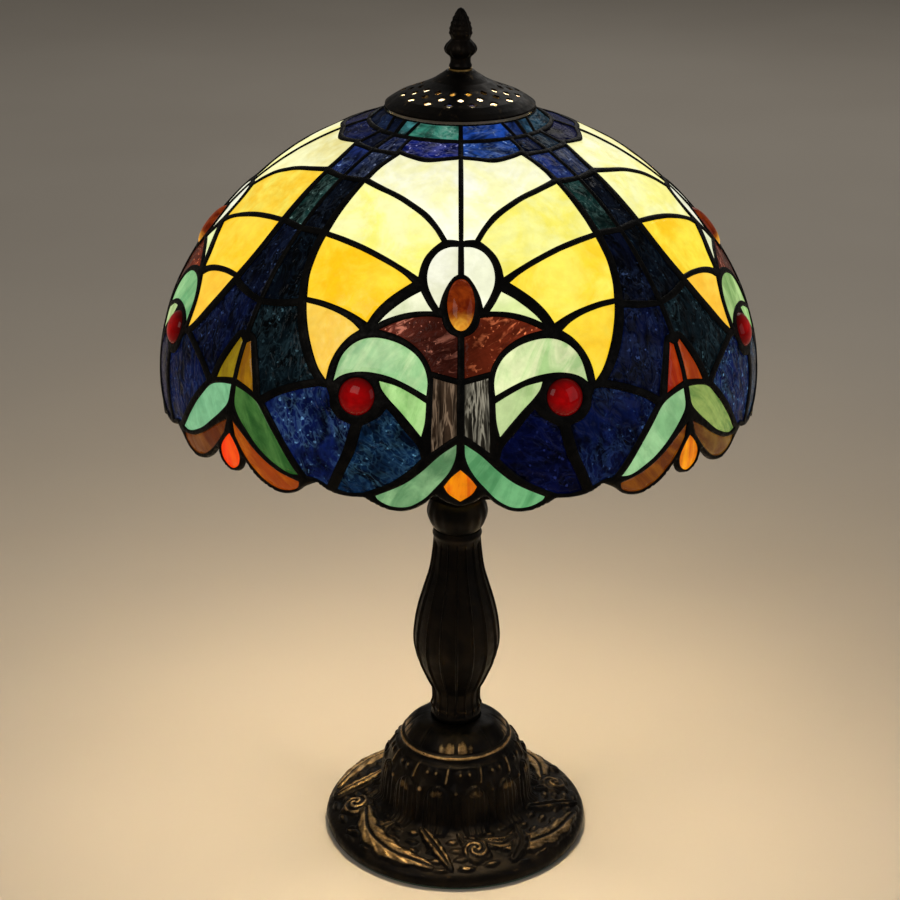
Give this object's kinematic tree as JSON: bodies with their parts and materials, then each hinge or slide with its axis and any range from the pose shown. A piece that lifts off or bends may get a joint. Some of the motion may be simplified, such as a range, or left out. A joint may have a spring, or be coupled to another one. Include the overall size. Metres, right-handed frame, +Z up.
{
  "type": "stained glass table lamp",
  "caption": "Leaded art-glass dome shade in repeated panels with cabochon gems and a scalloped rim, on a fluted cast stem and round relief base; shade, finial and bulb come off.",
  "frame": {"origin": "middle of the underside of the base, on the surface the lamp stands on", "axes": "+Z up the lamp's axis towards the finial; the middle of one shade panel faces -Y; the cord inlet faces +Y"},
  "size_m": [0.3044, 0.3044, 0.457],
  "materials": {
    "bronze": "dark antique bronze patina, satin, rubbed brass high spots",
    "felt": "short-pile felt",
    "iron": "rough cast iron",
    "steel": "zinc-plated steel",
    "brass": "aged brass",
    "bushing": "black nylon",
    "liner": "insulating board sleeve",
    "phenolic": "dark phenolic",
    "solder": "dark patinated solder",
    "bulb_white": "frosted glass, lit",
    "bulb_black": "black glass insulator",
    "bulb_inner": "clear glass mount with tungsten filament",
    "glass_fan_top": "opalescent cream art glass",
    "glass_fan_upper": "opalescent pale yellow art glass",
    "glass_fan_middle": "opalescent golden yellow art glass",
    "glass_fan_tip": "opalescent amber yellow art glass",
    "glass_white": "opal white art glass",
    "glass_oval_gem": "amber brown cabochon",
    "glass_wing": "hammered red-brown art glass",
    "glass_trunk": "streaky brown-grey art glass",
    "glass_hook": "opalescent mint art glass",
    "glass_hook_tail": "opalescent yellow-green art glass",
    "glass_red_gem": "deep red cabochon",
    "glass_rim_leaf": "opalescent sea-green art glass",
    "glass_rim_diamond": "orange cathedral glass",
    "glass_flame": "orange-red art glass",
    "glass_corner_leaf": "streaky green art glass",
    "glass_corner_brown": "amber brown art glass",
    "glass_corner_drop": "orange cathedral glass",
    "glass_band": "ripple cobalt and teal art glass",
    "glass_lower": "ripple cobalt and teal art glass",
    "glass_crown": "ripple cobalt and teal art glass"
  },
  "bodies": {
    "base": {"base_casting": "bronze", "base_brim": "bronze", "base_felt": "felt", "base_weight": "iron", "base_washer": "steel", "base_nut": "brass", "cord_bushing": "bushing", "lamp_pipe": "brass", "stem_casting": "bronze", "neck_knob": "bronze", "harp_saddle": "bronze", "harp_bow": "brass", "harp_stud": "brass", "socket_cap": "brass", "socket_shell": "brass", "socket_liner": "liner", "socket_core": "phenolic", "socket_thread": "steel", "socket_contact": "brass"},
    "ferrule_left": {"harp_ferrule_left": "brass"},
    "ferrule_right": {"harp_ferrule_right": "brass"},
    "bulb_base": {"bulb_contact": "steel"},
    "bulb": {"bulb_glass": "bulb_white", "bulb_cap": "steel", "bulb_insulator": "bulb_black", "bulb_mount": "bulb_inner"},
    "shade_seat": {"seat_washer": "steel"},
    "shade": {"shade_ring": "brass", "solder_net_1": "solder", "solder_net_2": "solder", "solder_net_3": "solder", "solder_net_4": "solder", "glass_fan_top": "glass_fan_top", "glass_fan_upper": "glass_fan_upper", "glass_fan_middle": "glass_fan_middle", "glass_fan_tip": "glass_fan_tip", "glass_white": "glass_white", "glass_oval_gem": "glass_oval_gem", "glass_wing": "glass_wing", "glass_trunk": "glass_trunk", "glass_hook": "glass_hook", "glass_hook_tail": "glass_hook_tail", "glass_red_gem": "glass_red_gem", "glass_rim_leaf": "glass_rim_leaf", "glass_rim_diamond": "glass_rim_diamond", "glass_flame": "glass_flame", "glass_corner_leaf": "glass_corner_leaf", "glass_corner_brown": "glass_corner_brown", "glass_corner_drop": "glass_corner_drop", "glass_band": "glass_band", "glass_lower": "glass_lower", "glass_crown": "glass_crown", "vent_cap": "bronze"},
    "finial_seat": {"finial_washer": "brass"},
    "finial": {"finial": "bronze"}
  },
  "joints": [
    {"name": "shade_lift", "type": "slide", "parent": "base", "child": "shade_seat", "axis": [0, 0, 1], "range_m": [0, 0.17]},
    {"name": "shade_turn", "type": "hinge", "parent": "shade_seat", "child": "shade", "pos_m": [0, 0, 0.4235], "axis": [0, 0, 1], "continuous": true},
    {"name": "finial_rise", "type": "slide", "parent": "shade", "child": "finial_seat", "axis": [0, 0, 1], "range_m": [0, 0.0133]},
    {"name": "finial_turn", "type": "hinge", "parent": "finial_seat", "child": "finial", "pos_m": [0, 0, 0.4279], "axis": [0, 0, 1], "range_deg": [0, 5100]},
    {"name": "bulb_rise", "type": "slide", "parent": "base", "child": "bulb_base", "axis": [0, 0, 1], "range_m": [0, 0.0165]},
    {"name": "bulb_turn", "type": "hinge", "parent": "bulb_base", "child": "bulb", "pos_m": [0, 0, 0.2355], "axis": [0, 0, 1], "range_deg": [0, 1640]},
    {"name": "ferrule_left_lift", "type": "slide", "parent": "base", "child": "ferrule_left", "axis": [0, 0, 1], "range_m": [0, 0.018]},
    {"name": "ferrule_right_lift", "type": "slide", "parent": "base", "child": "ferrule_right", "axis": [0, 0, 1], "range_m": [0, 0.018]}
  ],
  "couplings": [
    {"joint": "finial_turn", "follows": "finial_rise", "rad_per_m": 6678.2},
    {"joint": "bulb_turn", "follows": "bulb_rise", "rad_per_m": 1731.4}
  ]
}
